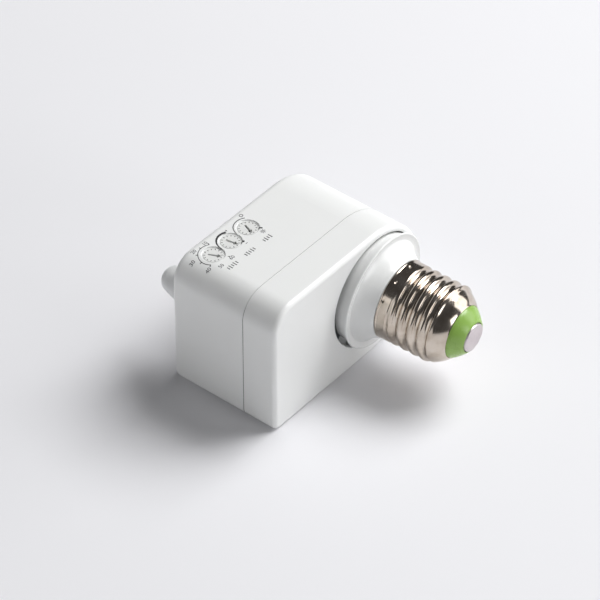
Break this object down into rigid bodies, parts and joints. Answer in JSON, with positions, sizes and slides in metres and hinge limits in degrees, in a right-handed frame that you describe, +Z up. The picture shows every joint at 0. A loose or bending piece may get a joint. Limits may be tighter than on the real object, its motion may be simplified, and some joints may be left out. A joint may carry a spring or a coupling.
{
  "type": "motion sensor lamp holder",
  "caption": "White plastic lamp holder with a screw socket, sensor dome and setting dials in a rounded box, on a swivelling screw cap.",
  "frame": {"origin": "middle of the lamp socket mouth, on the rear face of the box", "axes": "+X along the lamp axis, from the socket mouth towards the screw cap; +Y across the box, away from its flat side; +Z up from the flat bottom"},
  "size_m": [0.0879, 0.0702, 0.0467],
  "materials": {
    "housing_plastic": "white moulded ABS, satin gloss",
    "zinc_steel": "zinc plated",
    "socket_plastic": "white heat resistant plastic",
    "socket_brass": "rolled brass",
    "board_laminate": "glass fibre laminate",
    "trimmer_plastic": "moulded",
    "relay_plastic": "moulded",
    "capacitor_plastic": "moulded",
    "capacitor_aluminium": "sleeved can",
    "chip_plastic": "moulded",
    "resistor_ceramic": "coated",
    "dial_plastic": "white moulded",
    "sensor_can": "nickel plated can",
    "cell_ceramic": "coated",
    "window_plastic": "clear moulded",
    "lens_plastic": "translucent white polyethylene",
    "carrier_plastic": "moulded acetal",
    "spring_steel": "spring temper",
    "cap_nickel": "nickel plated, polished",
    "insulator_plastic": "green moulded",
    "contact_metal": "tinned, matt"
  },
  "bodies": {
    "housing": {"rear_housing": "housing_plastic", "front_cover": "housing_plastic", "housing_screws": "zinc_steel", "socket_body": "socket_plastic", "socket_screws": "zinc_steel", "socket_shell": "socket_brass", "socket_tongue": "socket_brass", "main_board": "board_laminate", "sensor_board": "board_laminate", "trimmers": "trimmer_plastic", "relay": "relay_plastic", "film_capacitor": "capacitor_plastic", "electrolytic_capacitor": "capacitor_aluminium", "controller_chip": "chip_plastic", "rectifier": "chip_plastic", "fuse_resistor": "resistor_ceramic", "pir_sensor": "sensor_can", "light_cell": "cell_ceramic", "light_window": "window_plastic", "sensor_lens": "lens_plastic"},
    "swivel_carrier": {"carrier_ring": "carrier_plastic", "wave_washer": "spring_steel"},
    "screw_cap": {"swivel_collar": "housing_plastic", "collar_clip": "spring_steel", "cap_shell": "cap_nickel", "cap_insulator": "insulator_plastic", "cap_contact": "contact_metal"},
    "time_dial": {"time_dial": "dial_plastic"},
    "sensitivity_dial": {"sensitivity_dial": "dial_plastic"},
    "light_dial": {"light_dial": "dial_plastic"}
  },
  "joints": [
    {"name": "swivel_tilt", "type": "hinge", "parent": "housing", "child": "swivel_carrier", "pos_m": [0.03455, 0.001, 0.0008], "axis": [0, 0.6266, 0.7793], "range_deg": [-8, 0.5]},
    {"name": "swivel_turn", "type": "hinge", "parent": "swivel_carrier", "child": "screw_cap", "pos_m": [0.03455, 0.001, 0.0008], "axis": [0.998, 0.0498, -0.04], "range_deg": [-168, 168]},
    {"name": "time_dial_turn", "type": "hinge", "parent": "housing", "child": "time_dial", "pos_m": [0.008, -0.0374, 0.0222], "axis": [0, 0, 1], "range_deg": [-146, 124]},
    {"name": "sensitivity_dial_turn", "type": "hinge", "parent": "housing", "child": "sensitivity_dial", "pos_m": [0.008, -0.0293, 0.0222], "axis": [0, 0, 1], "range_deg": [-131, 139]},
    {"name": "light_dial_turn", "type": "hinge", "parent": "housing", "child": "light_dial", "pos_m": [0.008, -0.0212, 0.0222], "axis": [0, 0, 1], "range_deg": [-99, 171]}
  ]
}
